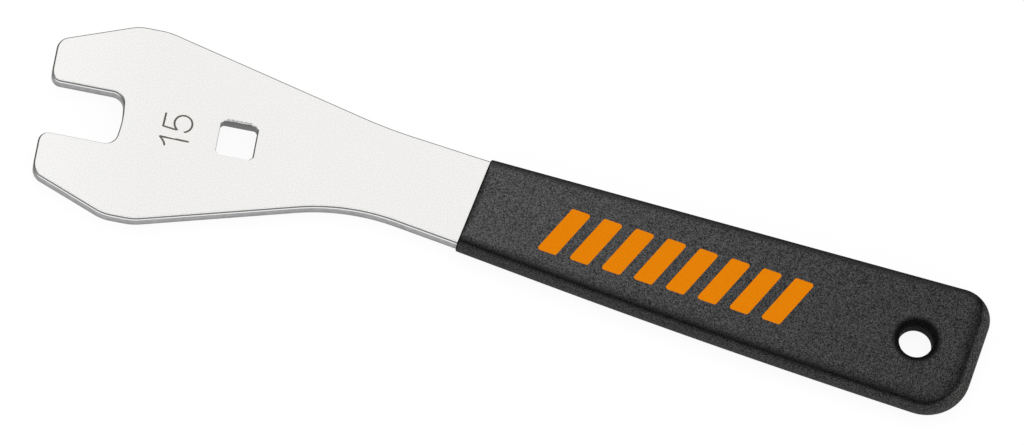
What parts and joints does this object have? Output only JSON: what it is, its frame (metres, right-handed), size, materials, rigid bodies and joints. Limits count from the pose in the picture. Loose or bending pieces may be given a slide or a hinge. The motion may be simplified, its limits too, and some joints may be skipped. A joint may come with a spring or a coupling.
{
  "type": "pedal wrench",
  "caption": "Flat steel pedal wrench with an open jaw across the end, a square drive hole behind it and a dipped grip with a hang hole.",
  "frame": {"origin": "centre of an axle seated in the jaw, in the middle of the plate's thickness", "axes": "+X along the jaw's axis from its mouth towards the handle, +Z square to the plate, out of its marked face"},
  "size_m": [0.2527, 0.064, 0.0072],
  "materials": {
    "steel": "satin plated, faintly speckled on the faces",
    "grip": "fine matt grain, dipped soft coat"
  },
  "bodies": {
    "root": {"wrench_blade": "steel", "grip_sleeve": "grip"}
  },
  "joints": []
}
